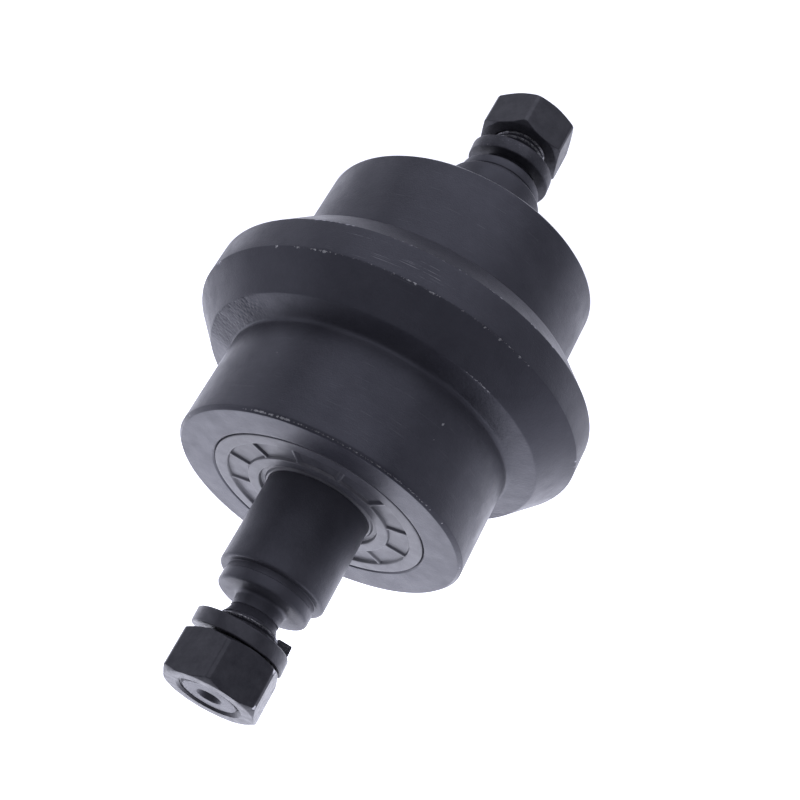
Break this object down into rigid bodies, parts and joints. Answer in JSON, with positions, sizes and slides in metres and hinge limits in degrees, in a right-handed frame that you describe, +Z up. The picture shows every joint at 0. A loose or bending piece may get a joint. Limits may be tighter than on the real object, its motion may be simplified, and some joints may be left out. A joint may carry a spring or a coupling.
{
  "type": "track roller",
  "caption": "Flanged steel bottom roller that turns on sealed ball bearings about a fixed shaft, with a split washer and hexagon nut on each threaded end.",
  "frame": {"origin": "middle of the shaft, on the roller axis, halfway between the two hub faces", "axes": "+Y along the roller axis from the front end to the rear end, +Z up, +X to the right seen from the front end"},
  "size_m": [0.134, 0.2405, 0.134],
  "materials": {
    "shell_paint": "satin",
    "shaft_paint": "satin",
    "bearing_steel": "ground",
    "ball_steel": "polished",
    "cage_sheet": "satin",
    "spring_steel": "phosphated",
    "seal_sheet": "satin",
    "seal_rubber": "matte",
    "black_oxide": "satin"
  },
  "bodies": {
    "fixed_shaft": {"shaft": "shaft_paint", "spacer_tube": "bearing_steel", "front_inner_ring": "bearing_steel", "front_shaft_circlip": "spring_steel", "rear_inner_ring": "bearing_steel", "rear_shaft_circlip": "spring_steel"},
    "roller": {"roller_shell": "shell_paint", "front_outer_ring": "bearing_steel", "front_bore_circlip": "spring_steel", "front_seal_case": "seal_sheet", "front_seal_rubber": "seal_rubber", "front_garter_spring": "spring_steel", "rear_outer_ring": "bearing_steel", "rear_bore_circlip": "spring_steel", "rear_seal_case": "seal_sheet", "rear_seal_rubber": "seal_rubber", "rear_garter_spring": "spring_steel"},
    "front_cage": {"front_balls": "ball_steel", "front_cage_outer_half": "cage_sheet", "front_cage_inner_half": "cage_sheet", "front_cage_rivets": "cage_sheet"},
    "front_washer": {"front_lock_washer": "black_oxide"},
    "front_nut": {"front_hex_nut": "black_oxide"},
    "rear_cage": {"rear_balls": "ball_steel", "rear_cage_outer_half": "cage_sheet", "rear_cage_inner_half": "cage_sheet", "rear_cage_rivets": "cage_sheet"},
    "rear_washer": {"rear_lock_washer": "black_oxide"},
    "rear_nut": {"rear_hex_nut": "black_oxide"}
  },
  "joints": [
    {"name": "roller_spin", "type": "hinge", "parent": "fixed_shaft", "child": "roller", "pos_m": [0, 0, 0], "axis": [0, 1, 0], "continuous": true},
    {"name": "front_cage_spin", "type": "hinge", "parent": "fixed_shaft", "child": "front_cage", "pos_m": [0, -0.0303, 0], "axis": [0, 1, 0], "continuous": true},
    {"name": "front_washer_slide", "type": "slide", "parent": "fixed_shaft", "child": "front_washer", "axis": [0, 1, 0], "range_m": [-0.0062, 0.0052]},
    {"name": "front_nut_turn", "type": "hinge", "parent": "front_washer", "child": "front_nut", "pos_m": [0, -0.11305, 0], "axis": [0, 1, 0], "range_deg": [-1080, 900]},
    {"name": "rear_cage_spin", "type": "hinge", "parent": "fixed_shaft", "child": "rear_cage", "pos_m": [0, 0.0303, 0], "axis": [0, 1, 0], "continuous": true},
    {"name": "rear_washer_slide", "type": "slide", "parent": "fixed_shaft", "child": "rear_washer", "axis": [0, 1, 0], "range_m": [-0.0015, 0.0062]},
    {"name": "rear_nut_turn", "type": "hinge", "parent": "rear_washer", "child": "rear_nut", "pos_m": [0, 0.11195, 0], "axis": [0, 1, 0], "range_deg": [-240, 1080]}
  ],
  "couplings": [
    {"joint": "front_cage_spin", "follows": "roller_spin", "ratio": 0.6037},
    {"joint": "front_washer_slide", "follows": "front_nut_turn", "m_per_rad": 0.00031831},
    {"joint": "rear_cage_spin", "follows": "roller_spin", "ratio": 0.6037},
    {"joint": "rear_washer_slide", "follows": "rear_nut_turn", "m_per_rad": 0.00031831}
  ]
}
